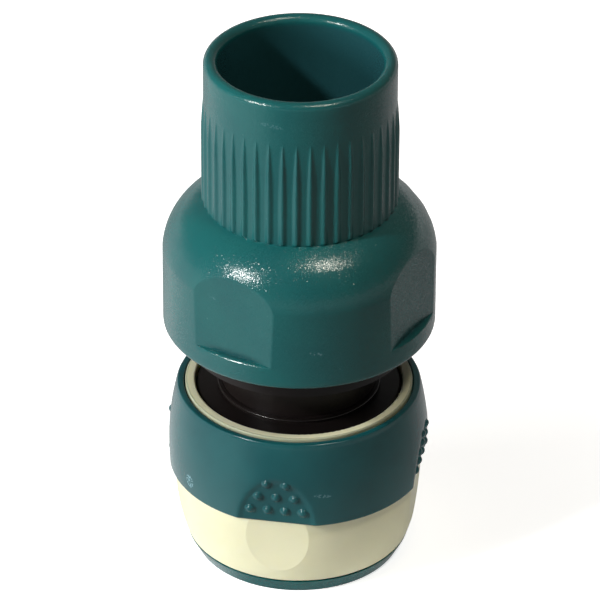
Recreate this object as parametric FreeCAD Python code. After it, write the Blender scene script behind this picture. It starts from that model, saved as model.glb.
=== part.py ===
import FreeCAD, Part
import math
import os

# Quick connector for the end of a garden hose, in millimetres.
# The origin is the centre of the foot and +Z runs along the axis towards the hose.

# Socket body: the barrel that the tap nipple is pushed into, with the disc on its top
seal_bore_radius = 7.6
seal_bore_length = 8.0
socket_step = 1.6
socket_length = 11.4
socket_taper = 1.0
throat_step = 1.0
throat_length = 0.9
barrel_wall = 2.8
barrel_head_step = 1.1
disc_reach = 3.95
disc_thickness = 2.3
disc_inset = 0.5
disc_edge = 0.3
recess_wall = 1.7
recess_depth = 6.2

# Nose ring that the connector stands on
nose_height = 2.4
nose_floor = 1.2
nose_flare = 1.25
nose_inset = 0.05
nose_mouth_step = 0.5
nose_mouth_chamfer = 0.8

# Locking jaws, their windows in the barrel and the cone in the sleeve that holds them in
jaw_count = 4
jaw_width = 5.8
jaw_height = 5.0
jaw_foot_above_nose = 3.0
jaw_side_clearance = 0.2
jaw_hook_reach = 1.2
jaw_hook_thickness = 1.6
jaw_hook_back_step = 0.25
jaw_ear_width = 1.0
jaw_ear_clearance = 0.2
jaw_cam_clearance = 0.12

# Sleeve that is pulled towards the hose to let the nipple go
sleeve_rest_gap = 0.2
release_travel = 4.0
guide_clearance = 0.25
ring_wall = 1.5
ring_rounding = 0.25
cream_height = 12.0
cream_foot_inset = 0.2
cream_belly_wall = 1.25
cream_belly_height = 5.9
cream_waist_wall = 1.6
cream_foot_rounding = 0.4
core_wall_draft = 0.2
cam_height = 10.4
cam_slope = 0.3
collar_clearance = 0.3
collar_thickness = 0.9
collar_height = 3.4
skirt_thickness = 1.3
pocket_floor_height = 3.4
spring_seat_rise = 1.5
seat_rib_count = 8
seat_rib_thickness = 1.4

# Grip moulded round the upper part of the sleeve
grip_foot_wall = 2.55
grip_wall = 2.62
grip_widest_height = 16.9
grip_shoulder_wall = 1.38
grip_top_wall = 1.15
grip_top_inset = 0.35
grip_edge_height = 0.45
grip_foot_rounding = 0.3
grip_groove_width = 0.25
grip_groove_depth = 0.45

# Thumb scoops with raised dots, through the grip and the cream wall below it
scoop_count = 4
scoop_azimuth = -9.9
scoop_cream_depth = 0.48
scoop_cream_tilt = 3.6
scoop_grip_depth = 0.98
scoop_grip_tilt = 5.1
dot_radius = 0.66
dot_sink = 0.11
dot_pitch = 2.83
dot_row_pitch = 2.6
dot_first_row_height = 2.4
dot_rows = (4, 3, 2)

# Return spring between the sleeve and the disc
spring_wire_radius = 0.7
spring_half_turns = 7
spring_inner_clearance = 0.35
spring_end_clearance = 0.3

# Hose tail: spigot, neck and threaded drum in one moulding
tail_clearance = 0.1
neck_radius = 12.0
neck_length = 5.2
neck_foot_step = 0.6
neck_foot_height = 0.9
cup_step = 1.4
drum_wall = 3.2
drum_flare_height = 2.7
drum_edge = 0.5
cup_floor_thickness = 3.4
hose_spigot_radius = 9.3
hose_spigot_wall = 2.1
hose_spigot_length = 20.5
hose_bore_step = 0.8
hose_bore_taper = 3.0
barb_count = 4
barb_height = 0.7
barb_pitch = 5.0
barb_lead = 2.25
barb_land = 0.6

# Ring seal between the hose tail and the socket body
seal_groove_depth = 1.4
seal_groove_width = 2.0
seal_groove_height = 2.2
seal_gap = 0.02

# Clamping nut, backed off from the sleeve as it is delivered
nut_gap = 11.0
nut_height = 46.0
nut_down_travel = 5.0
hose_room = 3.3
nut_neck_wall = 2.12
thread_clearance = 0.1
nut_thread_length = 10.5
thread_lead_in = 0.9
skirt_relief = 1.3
skirt_bore_depth = 2.3
bell_wall = 2.45
bell_height = 13.3
bell_foot_rounding = 0.8
dome_radius = 10.04
dome_crease_angle = 6.2
shoulder_fillet = 0.3

# Flats on the bell for a spanner or a firm grip
flat_count = 4
flat_azimuth = -30.0
flat_depth = 1.06
flat_tilt = 0.8
flat_foot_height = 3.7
flat_ledge_rise = 1.7

# Grip ribs on the neck of the nut
rib_count = 44
rib_azimuth = -1.9
rib_height = 0.45
rib_crest_width = 0.4
rib_root_width = 1.9
rib_foot_sink = 3.2
rib_tip_below_lip = 7.0
rib_tip_length = 4.7

# Collet that the nut squeezes on to the hose
collet_groove_step = 0.6
collet_groove_height = 1.6
cone_foot_step = 0.9
cone_top_wall = 1.5
cone_height = 6.4
collet_clearance = 0.1
collet_bore_step = 0.15
collet_tooth_depth = 0.4
collet_tooth_count = 4
collet_slot_count = 8
collet_slot_width = 1.2
collet_foot_band = 1.6

# Heights that follow from the sizes above
sleeve_foot = nose_height + sleeve_rest_gap
cream_top = sleeve_foot + cream_height
cam_top = sleeve_foot + cam_height
spring_seat = cam_top + spring_seat_rise
collar_top = cam_top + collar_height
jaw_foot = nose_height + jaw_foot_above_nose
jaw_top = jaw_foot + jaw_height
seal_bore_foot = nose_floor + socket_length + socket_taper
seal_bore_top = seal_bore_foot + seal_bore_length
recess_floor = seal_bore_top + throat_length
disc_top = recess_floor + recess_depth
disc_foot = disc_top - disc_thickness
sleeve_top = disc_top + disc_inset
grip_top = sleeve_top - grip_top_inset
neck_top = disc_top + neck_length
drum_foot = neck_top + drum_flare_height
cup_floor = drum_foot + cup_floor_thickness
hose_spigot_top = cup_floor + hose_spigot_length
nut_foot = sleeve_top + nut_gap
nut_top = nut_foot + nut_height
thread_foot = nut_foot + skirt_bore_depth
thread_top = thread_foot + nut_thread_length
drum_top = thread_top - nut_down_travel
cone_foot = thread_top + collet_groove_height
cone_top = cone_foot + cone_height
rib_tip = nut_top - rib_tip_below_lip

# Radii of the core and of the mouth above it
throat_radius = seal_bore_radius - throat_step
socket_radius = seal_bore_radius + socket_step
barrel_radius = socket_radius + barrel_wall
barrel_head_radius = barrel_radius + barrel_head_step
disc_radius = barrel_radius + disc_reach
tail_recess_radius = barrel_head_radius - recess_wall
nose_mouth_radius = socket_radius + nose_mouth_step
mouth_radius = hose_spigot_radius + hose_room
cup_radius = mouth_radius + cup_step
drum_radius = cup_radius + drum_wall
hose_bore_radius = hose_spigot_radius - hose_spigot_wall
tail_waterway_radius = hose_bore_radius + hose_bore_step
spring_mean_radius = barrel_head_radius + spring_inner_clearance + spring_wire_radius

# Radii of the sleeve and of the nose ring in line with it
collar_radius = barrel_radius + collar_clearance
guide_radius = disc_radius + guide_clearance
ring_outer_radius = guide_radius + ring_wall
cream_foot_radius = ring_outer_radius - cream_foot_inset
cream_waist_radius = ring_outer_radius + cream_waist_wall
grip_foot_radius = ring_outer_radius + grip_foot_wall
grip_widest_radius = ring_outer_radius + grip_wall
nose_top_radius = cream_foot_radius - nose_inset

# Radii of the nut and the collet
nut_neck_radius = mouth_radius + nut_neck_wall
thread_bore_radius = drum_radius + thread_clearance
skirt_bore_radius = thread_bore_radius + skirt_relief
bell_radius = skirt_bore_radius + bell_wall
collet_groove_radius = thread_bore_radius + collet_groove_step
cone_foot_radius = collet_groove_radius - cone_foot_step
cone_top_radius = mouth_radius + cone_top_wall
collet_bore_radius = mouth_radius + collet_bore_step
cone_slope = (cone_foot_radius - cone_top_radius) / cone_height
lip_radius = nut_neck_wall / 2
lip_height = nut_top - lip_radius

# Room for the Boolean cuts to run past the faces that they open
overrun = 2.0
axis_up = FreeCAD.Vector(0, 0, 1)
origin = FreeCAD.Vector(0, 0, 0)


def corner(radius, height):
    return FreeCAD.Vector(radius, 0, height)


def rounded(before, at, after, radius):
    """Rounds a corner of an outline: the point where the arc starts, then its middle and its end."""
    back = (before - at).normalize()
    onward = (after - at).normalize()
    half_angle = back.getAngle(onward) / 2
    reach = radius / math.tan(half_angle)
    bisector = (back + onward).normalize()
    middle = at + bisector * (radius / math.sin(half_angle) - radius)
    return [at + back * reach, (middle, at + onward * reach)]


def turned(*steps):
    """Solid of revolution about Z. A step is the next corner, or the middle and the end of an arc."""
    edges = []
    here = steps[0]
    for step in steps[1:] + (steps[0],):
        if isinstance(step, tuple):
            edges.append(Part.Arc(here, step[0], step[1]).toShape())
            here = step[1]
        else:
            edges.append(Part.makeLine(here, step))
            here = step
    return Part.Face(Part.Wire(edges)).revolve(origin, axis_up, 360)


def block(radius_from, radius_to, width, low, high):
    """Box that reaches outwards along +X, centred on the XZ plane."""
    at = FreeCAD.Vector(radius_from, -width / 2, low)
    return Part.makeBox(radius_to - radius_from, width, high - low, at)


def turn_about_axis(shape, degrees):
    copy = shape.copy()
    copy.rotate(origin, axis_up, degrees)
    return copy


def around(shape, count, first_degrees=0.0):
    """Copies of a shape evenly spaced about the axis."""
    return [turn_about_axis(shape, first_degrees + 360.0 * i / count) for i in range(count)]


def front_azimuth(degrees):
    """Angle from +X for a place given as its angle from the front, -Y, towards +X."""
    return degrees - 90.0


def cam_radius(height):
    """Radius of the cone inside the sleeve, which widens towards the nose."""
    return collar_radius + cam_slope * (cam_top - height)


def write(name, shape):
    whole = shape.removeSplitter()
    solids = whole.Solids
    if len(solids) == 1:
        whole = solids[0]
    whole.exportStep("parts/" + name + ".step")
    print(name, "solids", len(solids), "valid", whole.isValid(), "volume", round(whole.Volume, 1))


def nose_ring():
    seat_radius = barrel_radius
    mouth_floor = nose_mouth_chamfer
    return turned(
        corner(nose_mouth_radius + nose_mouth_chamfer, 0),
        corner(nose_top_radius - nose_flare, 0),
        corner(nose_top_radius, nose_height),
        corner(seat_radius, nose_height),
        corner(seat_radius, nose_floor),
        corner(nose_mouth_radius, nose_floor),
        corner(nose_mouth_radius, mouth_floor),
    )


def socket_blank():
    head_foot = collar_top + release_travel + collar_clearance
    return turned(
        corner(socket_radius, nose_floor),
        corner(barrel_radius, nose_floor),
        corner(barrel_radius, head_foot),
        corner(barrel_head_radius, head_foot + barrel_head_step),
        corner(barrel_head_radius, disc_foot),
        corner(disc_radius, disc_foot),
        corner(disc_radius, disc_top - disc_edge),
        corner(disc_radius - disc_edge, disc_top),
        corner(tail_recess_radius, disc_top),
        corner(tail_recess_radius, recess_floor),
        corner(throat_radius, recess_floor),
        corner(throat_radius, seal_bore_top),
        corner(seal_bore_radius, seal_bore_top),
        corner(seal_bore_radius, seal_bore_foot),
        corner(socket_radius, seal_bore_foot - socket_taper),
    )


def socket_body():
    width = jaw_width + 2 * jaw_side_clearance
    low = jaw_foot - jaw_side_clearance
    high = jaw_top + jaw_side_clearance
    window = block(0, barrel_radius + overrun, width, low, high)
    return socket_blank().cut(around(window, jaw_count))


def locking_jaw():
    """Jaw with a hook inside the socket, ears outside the barrel and a conical back."""
    reach = cam_radius(jaw_foot)
    ear_start = barrel_radius + jaw_ear_clearance
    ear_width = jaw_width + 2 * jaw_ear_width
    shank = block(0, reach, jaw_width, jaw_foot, jaw_top)
    ears = block(ear_start, reach, ear_width, jaw_foot, jaw_top)
    back = turned(
        corner(0, jaw_foot),
        corner(cam_radius(jaw_foot) - jaw_cam_clearance, jaw_foot),
        corner(cam_radius(jaw_top) - jaw_cam_clearance, jaw_top),
        corner(0, jaw_top),
    )
    hook_top = (jaw_foot + jaw_top + jaw_hook_thickness) / 2
    hook_radius = socket_radius - jaw_hook_reach
    hook_back = socket_radius + jaw_hook_back_step
    hook_lead = (hook_back - hook_radius) / 2
    nipple_way = turned(
        corner(0, jaw_foot - overrun),
        corner(hook_back, jaw_foot - overrun),
        corner(hook_back, hook_top - jaw_hook_thickness - hook_lead),
        corner(hook_radius, hook_top - jaw_hook_thickness / 2),
        corner(hook_radius, hook_top),
        corner(hook_back, hook_top),
        corner(hook_back, jaw_top + overrun),
        corner(0, jaw_top + overrun),
    )
    return shank.fuse(ears).common(back).cut(nipple_way)


def sleeve_blank():
    skirt_foot = pocket_floor_height + sleeve_foot
    foot_corner = corner(cream_foot_radius, sleeve_foot)
    belly = corner(ring_outer_radius + cream_belly_wall, sleeve_foot + cream_belly_height)
    core_foot = corner(ring_outer_radius + core_wall_draft, cream_top)
    ring_outer = corner(ring_outer_radius, sleeve_top)
    ring_inner = corner(guide_radius, sleeve_top)
    pocket_corner = corner(guide_radius, skirt_foot)
    foot_start = corner(barrel_radius, sleeve_foot)
    foot_arc = rounded(foot_start, foot_corner, belly, cream_foot_rounding)
    return turned(
        foot_start,
        *foot_arc,
        (belly, corner(cream_waist_radius, cream_top)),
        core_foot,
        *rounded(core_foot, ring_outer, ring_inner, ring_rounding),
        *rounded(ring_outer, ring_inner, pocket_corner, ring_rounding),
        pocket_corner,
        corner(cam_radius(skirt_foot) + skirt_thickness, skirt_foot),
        corner(cam_radius(cam_top) + skirt_thickness, cam_top),
        corner(cam_radius(cam_top) + skirt_thickness, spring_seat),
        corner(collar_radius + collar_thickness, spring_seat),
        corner(collar_radius + collar_thickness, collar_top),
        corner(barrel_radius, collar_top),
    )


def sleeve_bore():
    """Space inside the sleeve: the cone for the jaws and the collar that runs on the barrel."""
    low = sleeve_foot - overrun
    return turned(
        corner(0, low),
        corner(cam_radius(low), low),
        corner(collar_radius, cam_top),
        corner(collar_radius, collar_top + overrun),
        corner(0, collar_top + overrun),
    )


def scoop_tool(distance, tilt):
    """Block whose inner face is the floor of a scoop, leaning outwards towards the hose."""
    width = 2 * cream_waist_radius
    tool = block(distance, grip_widest_radius + overrun, width, sleeve_foot - overrun, sleeve_top)
    tool.rotate(corner(distance, cream_top), FreeCAD.Vector(0, 1, 0), tilt)
    return tool


def sleeve_shell():
    rib_reach = guide_radius + core_wall_draft
    rib_foot = sleeve_foot + pocket_floor_height
    seat_rib = block(barrel_radius, rib_reach, seat_rib_thickness, rib_foot, spring_seat)
    ribbed = sleeve_blank().fuse(around(seat_rib, seat_rib_count))
    scoop = scoop_tool(cream_waist_radius - scoop_cream_depth, scoop_cream_tilt)
    scoops = around(scoop, scoop_count, front_azimuth(scoop_azimuth))
    return ribbed.cut([sleeve_bore()] + scoops)


def grip_blank():
    groove_floor = grip_top - grip_groove_depth
    draft = core_wall_draft * (sleeve_top - groove_floor) / (sleeve_top - cream_top)
    inner_foot = corner(ring_outer_radius + core_wall_draft, cream_top)
    foot_corner = corner(grip_foot_radius, cream_top)
    widest = corner(grip_widest_radius, sleeve_foot + grip_widest_height)
    shoulder = corner(ring_outer_radius + grip_shoulder_wall, grip_top - grip_edge_height)
    top = corner(ring_outer_radius + grip_top_wall, grip_top)
    half_turn = math.radians(45)
    edge_middle = corner(
        top.x + (shoulder.x - top.x) * math.sin(half_turn),
        shoulder.z + (top.z - shoulder.z) * math.cos(half_turn),
    )
    groove_radius = ring_outer_radius + grip_groove_width
    return turned(
        inner_foot,
        *rounded(inner_foot, foot_corner, widest, grip_foot_rounding),
        (widest, shoulder),
        (edge_middle, top),
        corner(groove_radius, grip_top),
        corner(groove_radius, groove_floor),
        corner(ring_outer_radius + draft, groove_floor),
    )


def grip_scoop_distance():
    return grip_foot_radius - scoop_grip_depth


def scoop_dots():
    """Domed dots on the floor of one scoop, in rows that shorten upwards."""
    dots = []
    for row, count in enumerate(dot_rows):
        rise = dot_first_row_height + row * dot_row_pitch
        height = cream_top + rise
        out = grip_scoop_distance() + rise * math.tan(math.radians(scoop_grip_tilt)) - dot_sink
        for i in range(count):
            across = (i - (count - 1) / 2.0) * dot_pitch
            dots.append(Part.makeSphere(dot_radius, FreeCAD.Vector(out, across, height)))
    return dots


def sleeve_grip():
    scoop = scoop_tool(grip_scoop_distance(), scoop_grip_tilt)
    scoops = around(scoop, scoop_count, front_azimuth(scoop_azimuth))
    dots = []
    for dot in scoop_dots():
        dots += around(dot, scoop_count, front_azimuth(scoop_azimuth))
    return grip_blank().cut(scoops).fuse(dots)


def sleeve_spring():
    """Coil of tangent half turns, each tilted so that it climbs half a pitch."""
    low = spring_seat + spring_wire_radius + spring_end_clearance
    high = disc_foot - spring_wire_radius - spring_end_clearance
    rise = (high - low) / spring_half_turns
    tilt = math.atan2(rise, 2 * spring_mean_radius)
    bend_radius = spring_mean_radius / math.cos(tilt)
    halves = []
    for i in range(spring_half_turns):
        side = i % 2
        half = Part.makeTorus(bend_radius, spring_wire_radius, origin, axis_up, 0, 360, 180)
        half.rotate(origin, axis_up, 180 * side)
        half.rotate(origin, FreeCAD.Vector(0, 1, 0), math.degrees(tilt) * (1 - 2 * side))
        half.translate(FreeCAD.Vector(0, 0, low + rise * (i + 0.5)))
        halves.append(half)
    return halves[0].fuse(halves[1:])


def barb_steps():
    """Saw-tooth outline of the hose spigot, from its top down to the cup."""
    steps = []
    for i in range(barb_count):
        top = hose_spigot_top - barb_pitch * i
        crest = top - barb_lead
        steps.append(corner(hose_spigot_radius - (0 if i else barb_height), top))
        steps.append(corner(hose_spigot_radius + barb_height, crest))
        steps.append(corner(hose_spigot_radius + barb_height, crest - barb_land))
        steps.append(corner(hose_spigot_radius, crest - barb_land - barb_height / 2))
    return steps


def hose_tail():
    plug_radius = tail_recess_radius - tail_clearance
    groove_foot = recess_floor + seal_groove_height
    groove_radius = tail_recess_radius - seal_groove_depth
    return turned(
        corner(tail_waterway_radius, recess_floor),
        corner(plug_radius, recess_floor),
        corner(plug_radius, groove_foot),
        corner(groove_radius, groove_foot),
        corner(groove_radius, groove_foot + seal_groove_width),
        corner(plug_radius, groove_foot + seal_groove_width),
        corner(plug_radius, disc_top),
        corner(neck_radius + neck_foot_step, disc_top),
        corner(neck_radius + neck_foot_step, disc_top + neck_foot_height),
        corner(neck_radius, disc_top + neck_foot_height),
        corner(neck_radius, neck_top),
        corner(drum_radius, drum_foot),
        corner(drum_radius, drum_top - drum_edge),
        corner(drum_radius - drum_edge, drum_top),
        corner(cup_radius, drum_top),
        corner(cup_radius, cup_floor),
        corner(hose_spigot_radius, cup_floor),
        *reversed(barb_steps()),
        corner(hose_bore_radius, hose_spigot_top),
        corner(hose_bore_radius, cup_floor + hose_bore_taper),
        corner(tail_waterway_radius, cup_floor),
    )


def tail_seal():
    """Ring seal, squeezed between the groove floor and the wall of the recess."""
    section_radius = seal_groove_depth / 2 - seal_gap
    ring_radius = tail_recess_radius - seal_groove_depth / 2
    height = recess_floor + seal_groove_height + seal_groove_width / 2
    return Part.makeTorus(ring_radius, section_radius, FreeCAD.Vector(0, 0, height))


def dome_centre():
    tilt = math.radians(dome_crease_angle)
    return corner(
        bell_radius - dome_radius * math.cos(tilt),
        nut_foot + bell_height - dome_radius * math.sin(tilt),
    )


def shoulder_arc():
    """Fillet between the dome and the neck: its start on the dome, its middle and its end."""
    centre = dome_centre()
    reach = dome_radius + shoulder_fillet
    across = nut_neck_radius + shoulder_fillet - centre.x
    fillet_centre = centre + FreeCAD.Vector(across, 0, math.sqrt(reach ** 2 - across ** 2))
    to_dome = (centre - fillet_centre).normalize()
    to_neck = FreeCAD.Vector(-1, 0, 0)
    halfway = (to_dome + to_neck).normalize()
    start = fillet_centre + to_dome * shoulder_fillet
    middle = fillet_centre + halfway * shoulder_fillet
    return [start, middle, fillet_centre + to_neck * shoulder_fillet]


def dome_point(angle):
    """Point on the dome at an angle above the horizontal through its centre."""
    out = math.cos(angle) * dome_radius
    up = math.sin(angle) * dome_radius
    return dome_centre() + FreeCAD.Vector(out, 0, up)


def nut_blank():
    crease = corner(bell_radius, nut_foot + bell_height)
    foot_inner = corner(barrel_radius, nut_foot)
    fillet = shoulder_arc()
    up_dome = fillet[0] - dome_centre()
    dome_end_angle = math.atan2(up_dome.z, up_dome.x)
    dome_middle = dome_point((math.radians(dome_crease_angle) + dome_end_angle) / 2)
    return turned(
        foot_inner,
        *rounded(foot_inner, corner(bell_radius, nut_foot), crease, bell_foot_rounding),
        crease,
        (dome_middle, fillet[0]),
        (fillet[1], fillet[2]),
        corner(nut_neck_radius, lip_height),
        (corner(mouth_radius + lip_radius, nut_top), corner(mouth_radius, lip_height)),
        corner(mouth_radius, cone_top),
        corner(barrel_radius, cone_top),
    )


def nut_bore():
    """Space inside the nut: skirt, thread, groove for the collet's foot, and the cone that closes it."""
    return turned(
        corner(0, nut_foot - overrun),
        corner(skirt_bore_radius, nut_foot - overrun),
        corner(skirt_bore_radius, thread_foot),
        corner(thread_bore_radius, thread_foot + thread_lead_in),
        corner(thread_bore_radius, thread_top),
        corner(collet_groove_radius, thread_top),
        corner(collet_groove_radius, cone_foot),
        corner(cone_foot_radius, cone_foot),
        corner(cone_top_radius, cone_top),
        corner(mouth_radius, cone_top),
        corner(mouth_radius, lip_height),
        corner(0, lip_height),
    )


def ledge_cone():
    """Solid whose sloping side is the ledge at the foot of each flat."""
    low = nut_foot + flat_foot_height
    reach = flat_depth + overrun
    rise = reach * flat_ledge_rise / flat_depth
    return turned(
        corner(0, low - rise),
        corner(bell_radius + reach, low - rise),
        corner(bell_radius - reach, low + rise),
        corner(0, low + rise),
    )


def flat_tool():
    """Block that cuts one flat, which leans inwards towards the dome."""
    low = nut_foot + flat_foot_height
    distance = bell_radius - flat_depth
    tool = block(distance, bell_radius + overrun, 2 * bell_radius, low - overrun, nut_top)
    tool.rotate(corner(distance, low), FreeCAD.Vector(0, 1, 0), -flat_tilt)
    return tool.cut(ledge_cone())


def rib_section(height, crest_radius):
    """Section of a grip rib, sunk a little into the neck."""
    root = mouth_radius + nut_neck_wall / 2
    crest_half = rib_crest_width / 2
    root_half = rib_root_width / 2
    corners = [
        FreeCAD.Vector(root, -root_half, height),
        FreeCAD.Vector(crest_radius, -crest_half, height),
        FreeCAD.Vector(crest_radius, crest_half, height),
        FreeCAD.Vector(root, root_half, height),
    ]
    return Part.makePolygon(corners + corners[:1])


def grip_rib():
    """Rib that stands on the shoulder and runs out to a point on the neck."""
    foot = shoulder_arc()[2].z - rib_foot_sink
    crest_radius = nut_neck_radius + rib_height
    sections = [
        rib_section(foot, crest_radius),
        rib_section(rib_tip - rib_tip_length, crest_radius),
        rib_section(rib_tip, nut_neck_radius - rib_crest_width / 2),
    ]
    return Part.makeLoft(sections, True, True)


def clamping_nut():
    flats = around(flat_tool(), flat_count, front_azimuth(flat_azimuth))
    ribs = around(grip_rib(), rib_count, front_azimuth(rib_azimuth))
    return nut_blank().cut(flats).fuse(ribs).cut(nut_bore())


def collet_cone(height, clearance):
    """Radius of the nut's inner cone at a height, less a clearance."""
    return cone_foot_radius - cone_slope * (height - cone_foot) - clearance


def collet_teeth():
    """Saw-tooth bore of the collet, from its foot upwards."""
    low = thread_top + collet_foot_band
    pitch = (cone_top - collet_clearance - low) / collet_tooth_count
    steps = [corner(collet_bore_radius + collet_tooth_depth, thread_top + collet_clearance)]
    for i in range(collet_tooth_count):
        root = low + i * pitch
        steps.append(corner(collet_bore_radius + collet_tooth_depth, root))
        steps.append(corner(collet_bore_radius, root + pitch / 3))
        steps.append(corner(collet_bore_radius, root + pitch / 2))
    return steps


def grip_collet():
    foot = thread_top + collet_clearance
    flange_top = cone_foot - collet_clearance
    top = cone_top - collet_clearance
    flange_radius = collet_groove_radius - collet_clearance
    blank = turned(
        *collet_teeth(),
        corner(collet_bore_radius + collet_tooth_depth, top),
        corner(collet_cone(top, collet_clearance), top),
        corner(collet_cone(flange_top, collet_clearance), flange_top),
        corner(flange_radius, flange_top),
        corner(flange_radius, foot),
    )
    slot = block(mouth_radius / 2, bell_radius, collet_slot_width, foot + collet_foot_band, top + overrun)
    return blank.cut(around(slot, collet_slot_count))


def build():
    os.makedirs("parts", exist_ok=True)
    write("nose_ring", nose_ring())
    write("socket_body", socket_body())
    for i, jaw in enumerate(around(locking_jaw(), jaw_count)):
        write("locking_jaw_" + str(i + 1), jaw)
    write("sleeve_shell", sleeve_shell())
    write("sleeve_grip", sleeve_grip())
    write("sleeve_spring", sleeve_spring())
    write("hose_tail", hose_tail())
    write("tail_seal", tail_seal())
    write("clamping_nut", clamping_nut())
    write("grip_collet", grip_collet())


build()
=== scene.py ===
import math

import bpy
import numpy as np
from mathutils import Matrix, Vector


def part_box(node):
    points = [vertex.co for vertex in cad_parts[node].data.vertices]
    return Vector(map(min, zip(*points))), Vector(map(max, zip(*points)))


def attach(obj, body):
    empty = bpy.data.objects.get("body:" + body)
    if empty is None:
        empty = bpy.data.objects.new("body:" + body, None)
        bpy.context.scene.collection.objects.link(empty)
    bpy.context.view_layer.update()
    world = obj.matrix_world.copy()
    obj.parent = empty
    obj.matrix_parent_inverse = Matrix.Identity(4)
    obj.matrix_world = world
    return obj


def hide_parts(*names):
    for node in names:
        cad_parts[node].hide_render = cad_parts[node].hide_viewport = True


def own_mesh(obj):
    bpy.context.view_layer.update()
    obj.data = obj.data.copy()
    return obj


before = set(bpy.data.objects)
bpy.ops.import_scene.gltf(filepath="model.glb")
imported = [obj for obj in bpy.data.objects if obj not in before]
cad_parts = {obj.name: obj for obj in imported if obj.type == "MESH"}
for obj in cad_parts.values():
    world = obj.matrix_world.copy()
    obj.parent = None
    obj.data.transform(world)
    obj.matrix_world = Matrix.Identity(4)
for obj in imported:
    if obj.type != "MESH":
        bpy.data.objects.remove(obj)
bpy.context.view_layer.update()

mm = 0.001
print("frame loaded,", len(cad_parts), "nodes")


class Wire:
    # a shader socket that can be added, multiplied and compared like a number

    def __init__(self, graph, socket):
        self.graph = graph
        self.socket = socket

    def maths(self, operation, other, flipped=False):
        first, second = (other, self) if flipped else (self, other)
        return self.graph.add("ShaderNodeMath", {"operation": operation}, {0: first, 1: second})

    def __add__(self, other):
        return self.maths("ADD", other)

    def __radd__(self, other):
        return self.maths("ADD", other)

    def __sub__(self, other):
        return self.maths("SUBTRACT", other)

    def __rsub__(self, other):
        return self.maths("SUBTRACT", other, flipped=True)

    def __mul__(self, other):
        return self.maths("MULTIPLY", other)

    def __rmul__(self, other):
        return self.maths("MULTIPLY", other)

    def __truediv__(self, other):
        return self.maths("DIVIDE", other)

    def atLeast(self, other):
        return self.maths("MAXIMUM", other)


class Graph:
    # one node tree; add() makes any node, its settings first and then its sockets

    def __init__(self, tree):
        self.tree = tree
        tree.nodes.clear()

    def add(self, kind, settings=None, sockets=None, output=0):
        node = self.tree.nodes.new(kind)
        for name, value in (settings or {}).items():
            setattr(node, name, value)
        for key, value in (sockets or {}).items():
            self.feed(node.inputs[key], value)
        return Wire(self, node.outputs[output]) if node.outputs else node

    def feed(self, socket, value):
        if isinstance(value, Wire):
            self.tree.links.new(value.socket, socket)
        elif socket.type == "RGBA" and len(value) == 3:
            socket.default_value = (*value, 1)
        else:
            socket.default_value = value

    def noise(self, place, scale, detail=2.0, roughness=0.5):
        sockets = {"Vector": place, "Scale": scale, "Detail": detail, "Roughness": roughness}
        return self.add("ShaderNodeTexNoise", None, sockets)

    def mixColour(self, factor, first, second):
        settings = {"data_type": "RGBA"}
        return self.add("ShaderNodeMix", settings, {0: factor, 6: first, 7: second}, output=2)

    def step(self, value, low, high, fromValue=0.0, toValue=1.0):
        sockets = {0: value, 1: low, 2: high, 3: fromValue, 4: toValue}
        return self.add("ShaderNodeMapRange", {"interpolation_type": "SMOOTHSTEP"}, sockets)


def linear(red, green, blue):
    # the linear colour of a screen colour given in 0 to 255
    def one(level):
        part = level / 255
        return part / 12.92 if part <= 0.04045 else ((part + 0.055) / 1.055) ** 2.4
    return (one(red), one(green), one(blue))


# Plastics, rubber and steel. Grain sizes are in metres, as the object is.

grain = {"level": 0.12, "steep": 1.8}    # the least lean of a facet, and how fast it grows
# soft borders of the painted shade patches, and of the scuffs
shadeAndScuff = {    # soft borders in millimetres, and the look of a scuff
    "nearEdge": 0.2, "farEdge": 0.1, "lowEdge": 0.3, "topEdge": 1.0,
    "slant": 0.2, "crumb": 0.3 * mm, "scuffColour": linear(120, 168, 180),
}


def sparkGrain(graph, place, look):
    # the eroded grain of the mould: small facets, most of them nearly level, some with a good lean
    scale = 1 / look["grainSize"]
    facet = graph.add("ShaderNodeTexVoronoi", None, {"Vector": place, "Scale": scale}, output=1)
    lean = graph.add("ShaderNodeVectorMath", {"operation": "SUBTRACT"}, {0: facet, 1: (0.5, 0.5, 0.5)})
    steep = graph.add("ShaderNodeVectorMath", {"operation": "DOT_PRODUCT"}, {0: lean, 1: lean}, output=1)
    share = (steep * grain["steep"] + grain["level"]) * look["grainTilt"]
    lean = graph.add("ShaderNodeVectorMath", {"operation": "SCALE"}, {0: lean, "Scale": share})
    level = graph.add("ShaderNodeNewGeometry", output=1)
    both = graph.add("ShaderNodeVectorMath", {"operation": "ADD"}, {0: level, 1: lean})
    return graph.add("ShaderNodeVectorMath", {"operation": "NORMALIZE"}, {0: both})


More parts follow.
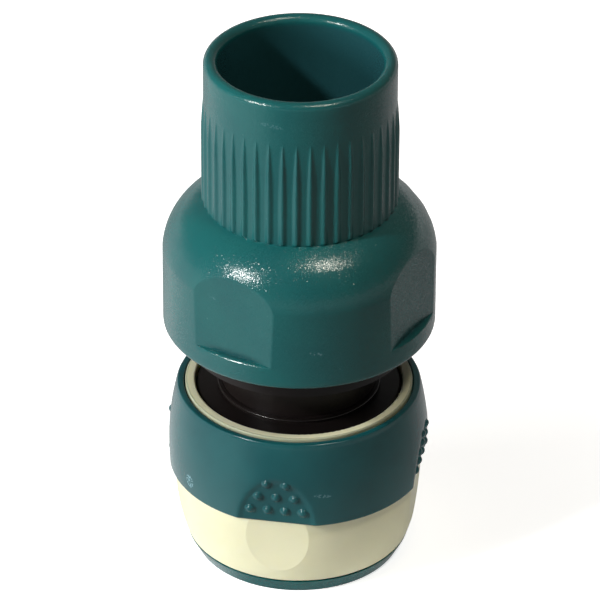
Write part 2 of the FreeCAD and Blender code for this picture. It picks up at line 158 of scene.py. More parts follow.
def dirtyColour(graph, place, look, colour):
    # painted shade at given radii and heights, and small scuffs; both are told in millimetres
    spot = graph.add("ShaderNodeSeparateXYZ", None, {0: place})
    across, deep, high = [Wire(graph, socket) / mm for socket in spot.socket.node.outputs]
    flat = graph.add("ShaderNodeCombineXYZ", None, {0: across, 1: deep})
    radius = graph.add("ShaderNodeVectorMath", {"operation": "LENGTH"}, {0: flat}, output=1)
    for patch in look["paintedShade"]:
        (near, far), (low, top) = patch["radius"], patch["height"]
        soft = patch.get("soft", shadeAndScuff["farEdge"])
        share = graph.step(radius, near - shadeAndScuff["nearEdge"], near)
        share = share * graph.step(radius, far + soft, far - soft)
        share = share * graph.step(high, low - shadeAndScuff["lowEdge"], low)
        share = share * graph.step(high, top + shadeAndScuff["topEdge"], top)
        colour = graph.mixColour(share * patch["strength"], colour, patch["colour"])
    for scuff in look["scuffs"]:
        turn = math.radians(scuff["azimuth"])
        side = (across * math.cos(turn) + deep * math.sin(turn)) / scuff["wide"]
        rise = (high - scuff["height"] + side * shadeAndScuff["slant"]) / scuff["tall"]
        outward = across * math.sin(turn) - deep * math.cos(turn)
        front = graph.step(outward, scuff["radius"] - 2, scuff["radius"] - 1)
        near = graph.step(side * side + rise * rise, 1.0, 0.4) * front
        broken = graph.step(graph.noise(place, 1 / shadeAndScuff["crumb"], 2.0), 0.48, 0.56)
        colour = graph.mixColour(near * broken * scuff["strength"], colour, shadeAndScuff["scuffColour"])
    return colour


def mouldedPlastic(name, look):
    material = bpy.data.materials.new(name)
    material.use_nodes = True
    graph = Graph(material.node_tree)
    place = graph.add("ShaderNodeTexCoord", output=3)
    cloud = graph.noise(place, 1 / look["cloudSize"], 3.0)
    colour = graph.mixColour(graph.step(cloud, 0.3, 0.7), look["colour"], look["cloudColour"])
    speck = graph.noise(place, 1 / look["speckSize"], 1.0)
    marks = graph.step(speck, look["speckFrom"], look["speckFrom"] + 0.04) * look["speckStrength"]
    colour = graph.mixColour(marks, colour, look["speckColour"])
    colour = dirtyColour(graph, place, look, colour)
    smear = graph.noise(place, 1 / look["smearSize"], 4.0, 0.6)
    roughness = look["roughness"] + (smear - 0.5) * look["smearStrength"]
    waves = graph.noise(place, 1 / look["waveSize"], 1.0)
    facets = sparkGrain(graph, place, look)
    normal = graph.add("ShaderNodeBump", None, {
        "Strength": 1.0, "Distance": look["waveHeight"], "Height": waves, "Normal": facets})
    shader = graph.add("ShaderNodeBsdfPrincipled", None, {
        "Base Color": colour, "Roughness": roughness, "Normal": normal,
        "IOR": look["ior"], "Subsurface Weight": look["translucency"],
        "Subsurface Radius": look["scatter"], "Subsurface Scale": 1.0})
    graph.add("ShaderNodeOutputMaterial", None, {"Surface": shader})
    return material


tealLook = {
    "colour": linear(19, 90, 92), "cloudColour": linear(22, 96, 96), "cloudSize": 9 * mm,
    "speckColour": linear(92, 142, 140), "speckSize": 0.9 * mm, "speckFrom": 0.79, "speckStrength": 0.35,
    "roughness": 0.20, "smearSize": 5 * mm, "smearStrength": 0.06,
    "grainSize": 0.09 * mm, "grainTilt": 0.33, "waveSize": 2.2 * mm, "waveHeight": 0.02 * mm,
    "ior": 1.5, "translucency": 0.0, "scatter": (0.001, 0.001, 0.001),
    "paintedShade": (
        # painted shade and painted reflection: the mouth bore darker and greyer
        {"colour": linear(36, 76, 82), "strength": 0.85, "radius": (12.0, 13.1), "height": (60.0, 84.5)},
        # painted shade in the corner above each flat's ledge
        {"colour": linear(12, 60, 66), "strength": 0.65, "radius": (19.5, 20.45), "height": (43.9, 44.3),
         "soft": 0.4},
    ),
    "scuffs": (
        {"azimuth": -17, "height": 82.4, "radius": 14.9, "wide": 2.2, "tall": 0.4, "strength": 0.2},
        {"azimuth": 7, "height": 46.7, "radius": 21.05, "wide": 1.1, "tall": 0.4, "strength": 0.4},
        {"azimuth": -41, "height": 53.2, "radius": 20.1, "wide": 0.9, "tall": 0.25, "strength": 0.3},
    ),
}
gripLook = dict(
    tealLook, colour=linear(16, 79, 84), cloudColour=linear(20, 86, 90), roughness=0.21,
    grainTilt=0.10, speckStrength=0.25, paintedShade=(), scuffs=(
        {"azimuth": -56, "height": 17.2, "radius": 20.2, "wide": 1.1, "tall": 1.25, "strength": 0.85},
        {"azimuth": 10.5, "height": 20.2, "radius": 20.3, "wide": 1.8, "tall": 0.35, "strength": 0.4},
    ))
creamLook = {
    "colour": linear(238, 235, 202), "cloudColour": linear(233, 230, 195), "cloudSize": 11 * mm,
    "speckColour": linear(170, 165, 140), "speckSize": 0.8 * mm, "speckFrom": 0.80, "speckStrength": 0.3,
    "roughness": 0.36, "smearSize": 6 * mm, "smearStrength": 0.08,
    "grainSize": 0.3 * mm, "grainTilt": 0.015, "waveSize": 3 * mm, "waveHeight": 0.02 * mm,
    "ior": 1.5, "translucency": 0.25, "scatter": (0.0016, 0.0014, 0.0009), "scuffs": (),
    "paintedShade": (
        # painted shade on the cream ring's outer rounding, damping its highlight
        {"colour": linear(172, 176, 150), "strength": 1.0, "radius": (17.52, 18.2), "height": (28.2, 29.6)},
    ),
}
blackLook = {
    "colour": linear(21, 17, 17), "cloudColour": linear(26, 21, 20), "cloudSize": 8 * mm,
    "speckColour": linear(70, 64, 62), "speckSize": 0.8 * mm, "speckFrom": 0.8, "speckStrength": 0.2,
    "roughness": 0.36, "smearSize": 4 * mm, "smearStrength": 0.12,
    "grainSize": 0.2 * mm, "grainTilt": 0.03, "waveSize": 2.5 * mm, "waveHeight": 0.02 * mm,
    "ior": 1.33, "translucency": 0.0, "scatter": (0.001, 0.001, 0.001), "paintedShade": (), "scuffs": (),
}
greyLook = dict(
    blackLook, colour=linear(150, 152, 150), cloudColour=linear(158, 160, 156),
    speckColour=linear(110, 110, 108), roughness=0.45)
rubberLook = dict(
    blackLook, colour=linear(20, 20, 21), cloudColour=linear(26, 26, 27), roughness=0.62,
    grainSize=0.12 * mm, grainTilt=0.06)
edgeLook = dict(blackLook, roughness=0.24, ior=1.6)


def springSteel():
    look = {"colour": linear(176, 178, 182), "drawnSize": 0.12 * mm, "roughness": 0.26}
    material = bpy.data.materials.new("springSteel")
    material.use_nodes = True
    graph = Graph(material.node_tree)
    place = graph.add("ShaderNodeTexCoord", output=3)
    drawn = graph.noise(place, 1 / look["drawnSize"], 3.0, 0.7)
    roughness = look["roughness"] + drawn * 0.15
    normal = graph.add("ShaderNodeBump", None, {"Strength": 0.4, "Distance": 0.004 * mm, "Height": drawn})
    shader = graph.add("ShaderNodeBsdfPrincipled", None, {
        "Base Color": look["colour"], "Metallic": 1.0, "Roughness": roughness, "Normal": normal})
    graph.add("ShaderNodeOutputMaterial", None, {"Surface": shader})
    return material


finishes = {
    "teal_plastic": mouldedPlastic("tealPlastic", tealLook),
    "grip_plastic": mouldedPlastic("gripPlastic", gripLook),
    "cream_plastic": mouldedPlastic("creamPlastic", creamLook),
    "black_plastic": mouldedPlastic("blackPlastic", blackLook),
    "black_edge": mouldedPlastic("blackEdge", edgeLook),
    "grey_plastic": mouldedPlastic("greyPlastic", greyLook),
    "seal_rubber": mouldedPlastic("sealRubber", rubberLook),
    "spring_steel": springSteel(),
}
nodeSlots = {
    "nose_ring": "teal_plastic", "socket_body": "black_plastic", "hose_tail": "black_plastic",
    "tail_seal": "seal_rubber", "sleeve_spring": "spring_steel", "sleeve_shell": "cream_plastic",
    "sleeve_grip": "grip_plastic", "grip_collet": "grey_plastic", "clamping_nut": "teal_plastic",
}
for number in range(1, 5):
    nodeSlots["locking_jaw_" + str(number)] = "grey_plastic"


def dressNode(node):
    # gives a CAD node the finish of its slot
    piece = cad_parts[node]
    piece.data.materials.clear()
    piece.data.materials.append(finishes[nodeSlots[node]])


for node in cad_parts:
    dressNode(node)
print("finishes made,", len(finishes))


# Pieces with finer forms than the solids. Heights and radii are in millimetres until a mesh is made.

def smoothPart(value, low, high):
    # 0 up to low, 1 from high on, with a soft rise between them
    part = np.clip((value - low) / (high - low), 0, 1)
    return part * part * (3 - 2 * part)


def closedGrid(name, radius, height, turn):
    # rows of points round the axis; the last row joins the first, so the skin is closed
    rows, columns = radius.shape
    points = np.stack([np.sin(turn) * radius, -np.cos(turn) * radius, height], axis=-1)
    index = np.arange(rows * columns).reshape(rows, columns)
    above = np.roll(index, -1, axis=0)
    quads = np.stack([index, np.roll(index, -1, axis=1), np.roll(above, -1, axis=1), above], axis=-1)
    return meshPiece(name, points.reshape(-1, 3), quads.reshape(-1, 4).tolist())


def meshPiece(name, points, faces):
    mesh = bpy.data.meshes.new(name)
    mesh.from_pydata((points * mm).tolist(), [], faces)
    mesh.update()
    mesh.shade_smooth()
    piece = bpy.data.objects.new(name, mesh)
    bpy.context.scene.collection.objects.link(piece)
    return piece


def nodeSizes(node):
    # foot, top and largest radius of a CAD node
    low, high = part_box(node)
    return low.z / mm, high.z / mm, high.x / mm


def standFor(piece, node, body):
    piece.data.materials.append(finishes[nodeSlots[node]])
    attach(piece, body)
    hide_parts(node)
    triangles = sum(len(face.vertices) - 2 for face in piece.data.polygons)
    print(piece.name, "made,", triangles, "triangles")


# Clamping nut: ribbed neck, dome, and a bell with four flats that end in arches on the dome

nut = {
    "mouth": 12.6, "neck": 14.72, "skirt": 18.6, "footRounding": 0.8, "rimEase": 0.12, "rimHalf": 0.32,
    "creaseRise": 13.3, "domeRadius": 10.04, "creaseAngle": 6.2, "steadyRise": 5.6,
    "flats": 4, "flatTurn": -30.0, "flatDepth": 1.06, "flatTilt": 0.8, "flatFoot": 3.7,
    "shelfWidth": 0.95, "shelfSlope": 0.15, "hollowSlope": 9.0, "leastLedge": 0.1,
    "ribs": 44, "ribTurn": -1.9, "ribHeight": 0.36, "ribHalf": 0.70, "ribFoot": 0.5,
    "tipBelowTop": 6.9, "taper": 9.0, "swell": 5.0, "tipShare": 0.12,
    "threadFoot": 2.3, "threadLead": 0.9, "threadTop": 12.8, "threadBore": 17.3, "groove": 17.9,
    "coneFoot": 14.4, "coneFootRadius": 17.0, "coneTop": 20.8, "coneTopRadius": 14.1,
    "ribColumns": 12, "flatColumns": 56, "besideFlat": 9.0, "crispFrom": 36,
}
nut["foot"], nut["top"], nut["bell"] = nodeSizes("clamping_nut")
nut["crease"] = nut["foot"] + nut["creaseRise"]
nut["ledge"] = nut["foot"] + nut["flatFoot"]
creaseTilt = math.radians(nut["creaseAngle"])
domeMiddle = (nut["bell"] - nut["domeRadius"] * math.cos(creaseTilt),
              nut["crease"] - nut["domeRadius"] * math.sin(creaseTilt))


def domeHeight(radius):
    across = np.minimum(radius - domeMiddle[0], nut["domeRadius"])
    return domeMiddle[1] + np.sqrt(nut["domeRadius"] ** 2 - across ** 2)


neckFoot = float(domeHeight(np.array(nut["neck"])))


def domeWidth(height):
    # radius of the bell and of the dome above it, without flats
    rise = np.maximum(height - domeMiddle[1], 0)
    arc = domeMiddle[0] + np.sqrt(np.maximum(nut["domeRadius"] ** 2 - rise ** 2, 0))
    return np.where(height > nut["crease"], arc, nut["bell"])


def flatDistance(height):
    # from the axis to the plane of a flat, which leans in a little
    lean = math.tan(math.radians(nut["flatTilt"]))
    return nut["bell"] - nut["flatDepth"] - (height - nut["ledge"]) * lean


def ledgeWidth(height):
    # how far the ledge reaches in from the bell: a shelf, then a steep hollow up to the flat
    rise = np.maximum(height - nut["ledge"], 0)
    shelf = rise / nut["shelfSlope"]
    hollow = (rise - nut["shelfWidth"] * nut["shelfSlope"]) / nut["hollowSlope"]
    return np.minimum(shelf, nut["shelfWidth"] + hollow)


def ledgeRise(width):
    # the same curve the other way: how high the ledge is at a width
    beyond = np.maximum(width - nut["shelfWidth"], 0)
    return np.minimum(width, nut["shelfWidth"]) * nut["shelfSlope"] + beyond * nut["hollowSlope"]


def flatBorders(offset):
    # heights where a flat leaves the ledge below it and meets the dome above it
    low = np.full_like(offset, nut["ledge"])
    high = np.full_like(offset, nut["crease"])
    for attempt in range(40):
        below = nut["ledge"] + ledgeRise(np.maximum(nut["bell"] - flatDistance(low) / np.cos(offset), 0))
        low = (low + below) / 2
        high = domeHeight(flatDistance(high) / np.cos(offset))
    return np.maximum(low, nut["ledge"] + nut["leastLedge"]), np.maximum(high, nut["crease"])


def flatTurns(height):
    # angles of the columns so that two of them run along the sides of each flat
    half = math.acos(min(flatDistance(height) / nut["bell"], 1))
    inside = nut["flatColumns"]
    beside = nut["ribs"] * nut["ribColumns"] // nut["flats"] - inside
    lap = 2 * math.pi / nut["flats"]
    own = [half * (2 * i / inside - 1) for i in range(inside)]
    own += [half + (lap - 2 * half) * i / beside for i in range(beside)]
    own = np.array(own)
    turns = [math.radians(nut["flatTurn"]) + own + lap * k for k in range(nut["flats"])]
    offsets = np.tile(np.where(own > half, nut["besideFlat"], own), nut["flats"])
    return np.concatenate(turns), offsets


def ribTurns(height):
    # angles and rib shares of the columns on the neck; a rib is narrow at its tip
    tip = nut["top"] - nut["tipBelowTop"]
    left = max(tip - height, 0.0)
    narrow = max(min((left / nut["taper"]) ** 0.5, 1.0), nut["tipShare"])
    shares = np.linspace(-1, 1, 9)
    between = (0.25, 0.5, 0.75)
    pitch = 2 * math.pi * nut["neck"] / nut["ribs"]
    half = nut["ribHalf"] * narrow
    side = np.concatenate([shares * half, [half + (pitch - 2 * half) * part for part in between]])
    tall = nut["ribHeight"] * min((left / nut["swell"]) ** 0.8, 1.0)
    tall = tall * smoothPart(height, neckFoot, neckFoot + nut["ribFoot"])
    crown = np.concatenate([1 - smoothPart(np.abs(shares), 0.1, 1.0), np.zeros(len(between))])
    starts = math.radians(nut["ribTurn"]) + 2 * math.pi * np.arange(nut["ribs"]) / nut["ribs"]
    turns = (starts[:, None] + side[None] / nut["neck"]).ravel()
    return turns, np.tile(crown * tall, nut["ribs"])


def makeNut():
    radii, heights, turns = [], [], []
    columns = nut["ribs"] * nut["ribColumns"]
    bellTurns, bellOffsets = flatTurns(nut["ledge"])
    neckTurns = ribTurns(nut["foot"])[0]
    shift = int(np.argmin(np.abs(np.angle(np.exp(1j * (neckTurns - bellTurns[0]))))))

    def wound(values):
        # columns of the neck in the order of the columns of the bell, with rising angles
        rolled = np.roll(values, -shift) + 2 * math.pi * (np.arange(columns) >= columns - shift)
        return rolled - 2 * math.pi * round((rolled[0] - bellTurns[0]) / (2 * math.pi))

    def row(radius, height, turn):
        radii.append(np.broadcast_to(radius, columns).astype(float))
        heights.append(np.broadcast_to(height, columns).astype(float))
        turns.append(turn)

    foot, bell, rounding = nut["foot"], nut["bell"], nut["footRounding"]
    for radius in (nut["skirt"] + 0.1, nut["skirt"] + 0.7, bell - rounding - 0.1):
        row(radius, foot, bellTurns)
    for angle in np.radians([5, 20, 38, 55, 72, 90]):
        out, up = rounding * math.sin(angle), rounding * (1 - math.cos(angle))
        row(bell - rounding + out, foot + up, bellTurns)
    for height in (foot + 1.6, nut["ledge"] - 0.9, nut["ledge"] - 0.15):
        row(bell, height, bellTurns)
    rim = np.where(np.abs(bellOffsets) < 1, nut["rimEase"], 0)
    rim = rim * (1 - (bellOffsets / nut["rimHalf"]) ** 8).clip(0, 1)
    row(bell - rim, nut["ledge"], bellTurns)

    def ledgeShare(low, step):
        # rows crowd round the corner between the shelf and the hollow above it
        corner = nut["shelfWidth"] * nut["shelfSlope"]
        rise = low - nut["ledge"]
        turned = np.where(step < 4, corner * step / 4, corner + (rise - corner) * (step - 4 + 0.1) / 4)
        return nut["ledge"] + np.where(rise > corner * 1.05, turned, rise * step / 8)

    def flatRow(part, step):
        # part is the share of the flat's height; the rows on the ledge have part 0 and a step
        turn, offset = flatTurns(nut["ledge"] + (nut["crease"] - nut["ledge"]) * part)
        onFlat = np.abs(offset) < 1
        safe = np.where(onFlat, offset, 0)
        low, high = flatBorders(safe)
        low = np.where(onFlat, low, nut["ledge"] + nut["leastLedge"])
        high = np.where(onFlat, high, nut["crease"])
        height = ledgeShare(low, step) if part == 0 else low + (high - low) * part
        plane = flatDistance(height) / np.cos(safe)
        slope = nut["bell"] - nut["rimEase"] - ledgeWidth(height)
        cut = np.minimum(domeWidth(height), np.maximum(plane, slope))
        row(np.where(onFlat, cut, domeWidth(height)), height, turn)
        return turn, height

    for step in (0.4, 1, 2, 3, 3.9, 4, 5, 6, 7):
        flatRow(0, step)
    for part in (0.012, 0.04, 0.12, 0.25, 0.4, 0.55, 0.7, 0.82, 0.91, 0.97, 1.0):
        turn, arch = flatRow(part, 8)
    steady = nut["crease"] + nut["steadyRise"]
    for part in (0.05, 0.15, 0.35, 0.65, 1.0):
        height = arch + (steady - arch) * part
        row(domeWidth(height), height, turn)
    lastTurns = turns[-1]
    for step, beyond in enumerate((3.28, 2.48, 1.78, 1.28, 0.88, 0.63, 0.52, 0.45, 0.36, 0.26, 0.14)):
        radius = nut["neck"] + beyond
        height = float(domeHeight(radius))
        part = smoothPart(step / 4, 0, 1)
        row(radius, height, lastTurns * (1 - part) + wound(ribTurns(height)[0]) * part)
    tip = nut["top"] - nut["tipBelowTop"]
    above = [neckFoot + rise for rise in (0.03, 0.12, 0.22, 0.32, 0.45, 0.6, 1.5)]
    above += [tip - gap for gap in (14.3, 11.8, 9.3, 7.3, 5.8, 4.7, 4.0, 3.4, 2.9, 2.4, 2.0, 1.6, 1.3)]
    above += [tip - gap for gap in (1.0, 0.75, 0.5, 0.3, 0.12, 0.0)]
    above += [tip + 0.4, tip + 1.6, tip + 3.2, nut["top"] - 1.9]
    for height in above:
        neck, rib = ribTurns(height)
        row(nut["neck"] + np.roll(rib, -shift), height, wound(neck))
    topTurns = turns[-1]
    lip = (nut["neck"] - nut["mouth"]) / 2
    for angle in np.radians(np.linspace(0, 180, 15)):
        row(nut["mouth"] + lip + lip * math.cos(angle), nut["top"] - lip + lip * math.sin(angle), topTurns)
    for step, rise in enumerate(np.linspace(40, 25, 6)):
        part = smoothPart(step / 5, 0, 1)
        row(nut["mouth"], foot + rise, topTurns * (1 - part) + bellTurns * part)
    inside = [(nut["mouth"], nut["coneTop"] + 0.1), (nut["mouth"], nut["coneTop"])]
    inside += [(nut["coneTopRadius"], nut["coneTop"]), (nut["coneTopRadius"] + 0.05, nut["coneTop"] - 0.1)]
    inside += [(nut["coneFootRadius"], nut["coneFoot"]), (nut["groove"], nut["coneFoot"])]
    inside += [(nut["groove"], nut["threadTop"]), (nut["threadBore"], nut["threadTop"])]
    inside += [(nut["threadBore"], nut["threadFoot"] + nut["threadLead"])]
    inside += [(nut["skirt"], nut["threadFoot"]), (nut["skirt"], 0.1)]
    for radius, rise in inside:
        row(radius, foot + rise, bellTurns)
    piece = closedGrid("clampingNut", np.array(radii), np.array(heights), np.array(turns))
    piece.data.set_sharp_from_angle(angle=math.radians(nut["crispFrom"]))
    return piece


standFor(makeNut(), "clamping_nut", "nut")


# Grip: four thumb scoops with domed dots, and a shallow groove along the cream ring

grip = {
    "footRadius": 20.25, "widest": 20.32, "widestRise": 4.9, "footEase": 0.3, "scoopEase": 0.25,
    "shoulder": 19.08, "shoulderRise": 13.8, "edge": 18.85, "edgeRounding": 0.22,
    "bore": 17.7, "boreDraft": 0.2, "grooveWidth": 0.25, "grooveDepth": 0.45,
    "scoops": 4, "scoopTurn": -9.9, "scoopDepth": 0.98, "scoopTilt": 5.1, "scoopHalf": 19.0,
    "pocket": 0.2, "pocketEdge": 0.26, "dotRadius": 0.80, "dotSink": 0.22,
    "dotRows": ((4, 2.70), (3, 2.81), (2, 2.95)), "dotFirst": 2.27, "dotRowPitch": 2.5,
    "scoopColumns": 104, "gapColumns": 12, "edgeSoftness": 0.05,
}
grip["foot"], grip["top"] = nodeSizes("sleeve_grip")[:2]
grip["sleeveTop"] = nodeSizes("sleeve_shell")[1]


def gripWidth(rise):
    # radius of the grip without scoops, on the arc through its foot, widest part and shoulder
    a, b = grip["widestRise"], grip["shoulderRise"]
    first = (grip["widest"] - grip["footRadius"]) / a
    bend = ((grip["shoulder"] - grip["widest"]) / (b - a) - first) / b
    return grip["footRadius"] + rise * (first - bend * a) + bend * rise * rise


def dotRise(across, rise):
    # how far the dots stand out of the floor of a scoop
    out = np.zeros_like(across)
    for number, (count, pitch) in enumerate(grip["dotRows"]):
        high = grip["dotFirst"] + number * grip["dotRowPitch"]
        for i in range(count):
            side = (i - (count - 1) / 2) * pitch
            left = grip["dotRadius"] ** 2 - (across - side) ** 2 - (rise - high) ** 2
            out = np.maximum(out, np.sqrt(np.maximum(left, 0)) - grip["dotSink"])
    return out


def gripTurns():
    # angles of the columns, close together on the scoops, and their offsets from a scoop's middle
    inside, gap = grip["scoopColumns"], grip["gapColumns"]
    half = math.radians(grip["scoopHalf"])
    rest = 2 * math.pi / grip["scoops"] - 2 * half
    own = [half * (2 * i / inside - 1) for i in range(inside)]
    own = np.array(own + [half + rest * i / gap for i in range(gap)])
    starts = math.radians(grip["scoopTurn"]) + 2 * math.pi * np.arange(grip["scoops"]) / grip["scoops"]
    offset = np.where(own < half, own, 0.8)
    return (starts[:, None] + own[None]).ravel(), np.tile(offset, grip["scoops"])


def makeGrip():
    turn, offset = gripTurns()
    rises = [[0.04, 0.1], np.linspace(0.18, 9.9, 82), np.linspace(10.3, grip["shoulderRise"], 9)]
    depth = grip["footRadius"] - grip["scoopDepth"]
    wallEase, floorEase, soft = grip["footEase"], grip["scoopEase"], grip["edgeSoftness"]
    radii, heights = [], []
    for rise in np.concatenate(rises):
        wall = gripWidth(rise) - wallEase * max(1 - rise / wallEase, 0) ** 2
        plane = depth + rise * math.tan(math.radians(grip["scoopTilt"]))
        floor = plane / np.cos(offset) - floorEase * max(1 - rise / floorEase, 0) ** 2
        gap = np.clip((floor - wall) / soft, -30, 30)
        dots = dotRise(np.sin(offset) * plane, np.full_like(offset, rise))
        floor = wall - soft * np.log1p(np.exp(-gap))
        floor = floor - grip["pocket"] * smoothPart(wall - floor, 0.02, grip["pocketEdge"])
        radii.append(floor + dots / np.cos(offset))
        heights.append(np.full_like(turn, grip["foot"] + rise))
    top, rounding = grip["top"], grip["edgeRounding"]
    corner = grip["edge"] + 0.1
    for angle in np.radians([0, 25, 50, 70, 90]):
        radii.append(np.full_like(turn, corner - rounding + rounding * math.cos(angle)))
        heights.append(np.full_like(turn, top - rounding + rounding * math.sin(angle)))
    groove, grooveFoot = grip["bore"] + grip["grooveWidth"], top - grip["grooveDepth"]
    draft = grip["boreDraft"] * (grip["sleeveTop"] - grooveFoot) / (grip["sleeveTop"] - grip["foot"])
    boreFoot = grip["bore"] + grip["boreDraft"]
    inside = [(groove + 0.12, top), (groove + 0.03, top - 0.03), (groove, top - 0.12)]
    inside += [(groove, grooveFoot), (grip["bore"] + draft, grooveFoot)]
    inside += [(boreFoot, grip["foot"] + 0.02), (boreFoot + 0.05, grip["foot"])]
    for radius, height in inside:
        radii.append(np.full_like(turn, radius))
        heights.append(np.full_like(turn, height))
    radii.append(np.minimum(grip["footRadius"], depth / np.cos(offset)) - wallEase)
    heights.append(np.full_like(turn, grip["foot"]))
    radii, heights = np.array(radii), np.array(heights)
    return closedGrid("sleeveGrip", radii, heights, np.tile(turn, (len(radii), 1)))


standFor(makeGrip(), "sleeve_grip", "sleeve")


# Black neck: a fine worn edge round its foot

bead = {"radius": 12.58, "height": 29.17, "wire": 0.13, "around": 12, "columns": 180}


def makeBead():
    side = np.linspace(0, 2 * math.pi, bead["around"], endpoint=False)[:, None]
    turn = np.linspace(0, 2 * math.pi, bead["columns"], endpoint=False)[None]
    radius = bead["radius"] + bead["wire"] * np.cos(side) + 0 * turn
    height = bead["height"] + bead["wire"] * np.sin(side) + 0 * turn
    piece = closedGrid("neckFootEdge", radius, height, turn + 0 * side)
    piece.data.materials.append(finishes["black_edge"])
    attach(piece, "core")


makeBead()


# Return spring: a round wire that is pressed together as the sleeve is drawn back

coil = {
    "wire": 0.7, "mean": 14.15, "turns": 3.5, "endGap": 0.3, "seat": 14.5, "disc": 26.4,
    "travel": 4.0, "around": 20, "along": 260,
}


def makeSpring():
    low = coil["seat"] + coil["wire"] + coil["endGap"]
    high = coil["disc"] - coil["wire"] - coil["endGap"]
    part = np.linspace(0, 1, coil["along"])
    angle = part * coil["turns"] * 2 * math.pi
    side = np.linspace(0, 2 * math.pi, coil["around"], endpoint=False)
    radius = coil["mean"] + coil["wire"] * np.cos(side)[None]
    height = (low + (high - low) * part)[:, None] + coil["wire"] * np.sin(side)[None]
    points = np.stack([radius * np.sin(angle)[:, None], -radius * np.cos(angle)[:, None], height], axis=-1)
    index = np.arange(points.shape[0] * coil["around"]).reshape(-1, coil["around"])
    beside = np.roll(index, -1, axis=1)
    quads = np.stack([index[:-1], index[1:], beside[1:], beside[:-1]], axis=-1).reshape(-1, 4)
    faces = quads.tolist() + [index[0].tolist(), index[-1][::-1].tolist()]
    return meshPiece("sleeveSpring", points.reshape(-1, 3), faces)


spring = makeSpring()
standFor(spring, "sleeve_spring", "core")
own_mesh(spring)


# Studio: pale floor, white surroundings, a broad lamp at the left and two pairs of small lamps,
# of which one lights and the other is only mirrored

studio = {
    "cameraSide": 0.11 * mm, "cameraHeight": 487.39 * mm, "cameraBack": 713.01 * mm,
    "lookDown": 0.55705, "roll": 0.005544, "lens": 326.38, "sensor": 36.0,
    "floorReach": 1.2, "floorColour": 0.80, "floorGlow": 0.76, "glowFrom": 0.03, "glowTo": 0.13,
    "sheetFrom": 30 * mm, "sheetTo": 95 * mm, "floorBeyond": 0.05,
    "mirroredLeft": 0.9, "mirroredFront": 0.30, "mirroredBack": 0.45, "mattLoss": 0.85,
    "leftFrom": -0.85, "leftTo": -0.4, "backFrom": 0.0, "backTo": 0.6,
    "rightFrom": -0.3, "rightTo": 0.5, "rightGlow": 0.35,
    "ambient": (0.065, 0.06, 0.052),
    "surround": 1.0, "bandFrom": 0.02, "bandTo": 0.14, "mirroredRoom": 0.13,
}
lamps = {
    "leftPanel": {"azimuth": -68, "elevation": 13, "distance": 0.45, "width": 0.26, "height": 0.16,
                  "power": 1.6, "colour": (0.97, 1.0, 1.0), "mirrored": False, "lights": True},
    "keyLamp": {"azimuth": -58, "elevation": 35, "distance": 0.60, "width": 0.06, "height": 0.045,
                "power": 1.86, "colour": (1.0, 0.99, 0.97), "mirrored": False, "lights": True},
    "glintLamp": {"azimuth": -53, "elevation": 34, "distance": 0.60, "width": 0.09, "height": 0.075,
                  "power": 2.4, "colour": (1.0, 0.99, 0.97), "mirrored": True, "lights": False},
    "topLamp": {"azimuth": 40, "elevation": 64, "distance": 0.60, "width": 0.05, "height": 0.05,
                "power": 0.8, "colour": (1.0, 0.93, 0.80), "mirrored": False, "lights": True},
    "topGlint": {"azimuth": 40, "elevation": 64, "distance": 0.60, "width": 0.07, "height": 0.07,
                 "power": 1.6, "colour": (1.0, 0.93, 0.80), "mirrored": True, "lights": False},
}
aim = Vector((0, 0, 43 * mm))


def around(azimuth, elevation, distance):
    # a place round the object, its azimuth counted from the front towards +X
    turn, rise = math.radians(azimuth), math.radians(elevation)
    flat = math.cos(rise) * distance
    return aim + Vector((math.sin(turn) * flat, -math.cos(turn) * flat, math.sin(rise) * distance))


def hangLamp(name, look):
    data = bpy.data.lights.new(name, "AREA")
    data.shape = "RECTANGLE"
    data.size = look["width"]
    data.size_y = look["height"]
    data.energy = look["power"]
    data.color = look["colour"]
    lamp = bpy.data.objects.new(name, data)
    bpy.context.scene.collection.objects.link(lamp)
    lamp.visible_glossy = look["mirrored"]
    lamp.visible_diffuse = look["lights"]
    lamp.location = around(look["azimuth"], look["elevation"], look["distance"])
    lamp.rotation_euler = (lamp.location - aim).to_track_quat("Z", "Y").to_euler()


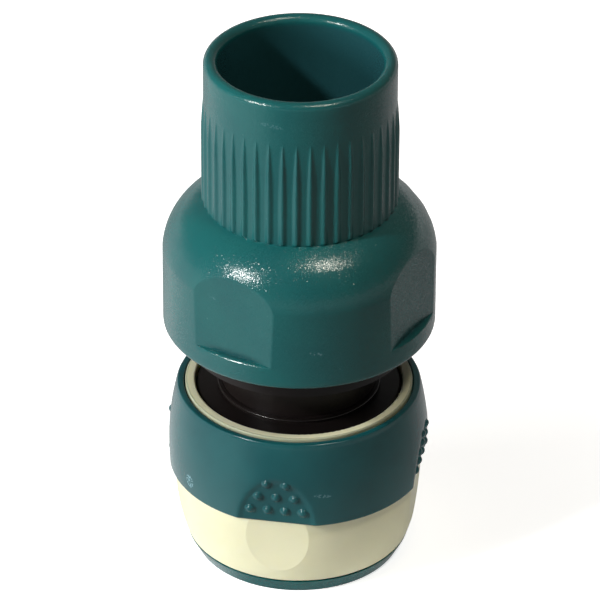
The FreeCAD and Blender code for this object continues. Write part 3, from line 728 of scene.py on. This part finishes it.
def makeFloor():
    reach = studio["floorReach"]
    mesh = bpy.data.meshes.new("floor")
    corners = [(-reach, -reach, 0), (reach, -reach, 0), (reach, reach, 0), (-reach, reach, 0)]
    mesh.from_pydata(corners, [], [(0, 1, 2, 3)])
    floor = bpy.data.objects.new("floor", mesh)
    bpy.context.scene.collection.objects.link(floor)
    material = bpy.data.materials.new("paleFloor")
    material.use_nodes = True
    graph = Graph(material.node_tree)
    place = graph.add("ShaderNodeTexCoord", output=3)
    far = graph.add("ShaderNodeVectorMath", {"operation": "LENGTH"}, {0: place}, output=1)
    glow = graph.step(far, studio["glowFrom"], studio["glowTo"], studio["floorGlow"], 1.0)
    camera = graph.add("ShaderNodeLightPath", output=0)
    mirrored = Wire(graph, camera.socket.node.outputs["Is Glossy Ray"])
    seen = camera.atLeast(Wire(graph, camera.socket.node.outputs["Is Transmission Ray"]))
    # all but the camera find a white sheet that ends near the object, dimmer in front
    pale = studio["floorColour"]
    sheet = graph.step(far, studio["sheetFrom"], studio["sheetTo"], pale, studio["floorBeyond"])
    plain = sheet + (pale - sheet) * seen
    spot = graph.add("ShaderNodeSeparateXYZ", None, {0: place})
    aside = spot / far
    behind = Wire(graph, spot.socket.node.outputs[1]) / far
    front = studio["mirroredFront"]
    left = graph.step(aside, studio["leftFrom"], studio["leftTo"], studio["mirroredLeft"], front)
    back = graph.step(behind, studio["backFrom"], studio["backTo"], front, studio["mirroredBack"])
    matt = graph.add("ShaderNodeBsdfDiffuse", None, {"Color": plain * (1 - mirrored * studio["mattLoss"])})
    fill = graph.step(far, studio["sheetFrom"], studio["sheetTo"], studio["rightGlow"], 0.0)
    fill = fill * graph.step(aside, studio["rightFrom"], studio["rightTo"])
    fill = fill * (1 - seen.atLeast(mirrored))
    light = graph.add("ShaderNodeEmission", None, {
        "Color": (1, 1, 1), "Strength": (glow * seen).atLeast(left.atLeast(back) * mirrored) + fill})
    both = graph.add("ShaderNodeAddShader", None, {0: matt, 1: light})
    graph.add("ShaderNodeOutputMaterial", None, {"Surface": both})
    mesh.materials.append(material)


def makeSurround():
    world = bpy.data.worlds.new("studioAir")
    bpy.context.scene.world = world
    world.use_nodes = True
    graph = Graph(world.node_tree)
    path = graph.add("ShaderNodeLightPath")
    seen = Wire(graph, path.socket.node.outputs["Is Camera Ray"])
    mirrored = Wire(graph, path.socket.node.outputs["Is Glossy Ray"])
    through = Wire(graph, path.socket.node.outputs["Is Transmission Ray"])
    white = graph.add("ShaderNodeBackground", None, {"Color": (1, 1, 1), "Strength": studio["surround"]})
    soft = graph.add("ShaderNodeBackground", None, {"Color": studio["ambient"], "Strength": 1.0})
    view = graph.add("ShaderNodeTexCoord", output=0)
    rise = graph.add("ShaderNodeSeparateXYZ", None, {0: view}, output=2)
    band = graph.step(rise, studio["bandFrom"], studio["bandTo"], 1.0, studio["mirroredRoom"])
    shown = seen.atLeast(mirrored * band).atLeast(through)
    mixed = graph.add("ShaderNodeMixShader", None, {0: shown, 1: soft, 2: white})
    graph.add("ShaderNodeOutputWorld", None, {"Surface": mixed})


def placeCamera():
    data = bpy.data.cameras.new("photoCamera")
    data.sensor_width = studio["sensor"]
    data.lens = studio["lens"]
    data.clip_start = 0.05
    data.clip_end = 10
    camera = bpy.data.objects.new("photoCamera", data)
    bpy.context.scene.collection.objects.link(camera)
    down, roll = studio["lookDown"], studio["roll"]
    forward = Vector((0, math.cos(down), -math.sin(down)))
    right = Vector((1, 0, 0))
    up = right.cross(forward)
    across = right * math.cos(roll) + up * math.sin(roll)
    upright = up * math.cos(roll) - right * math.sin(roll)
    turn = Matrix((across, upright, -forward)).transposed().to_4x4()
    place = (studio["cameraSide"], -studio["cameraBack"], studio["cameraHeight"])
    camera.matrix_world = Matrix.Translation(place) @ turn
    bpy.context.scene.camera = camera


for lampName, lampLook in lamps.items():
    hangLamp(lampName, lampLook)
makeFloor()
makeSurround()
placeCamera()
bpy.context.scene.view_settings.view_transform = "Standard"
print("studio lit, camera placed")
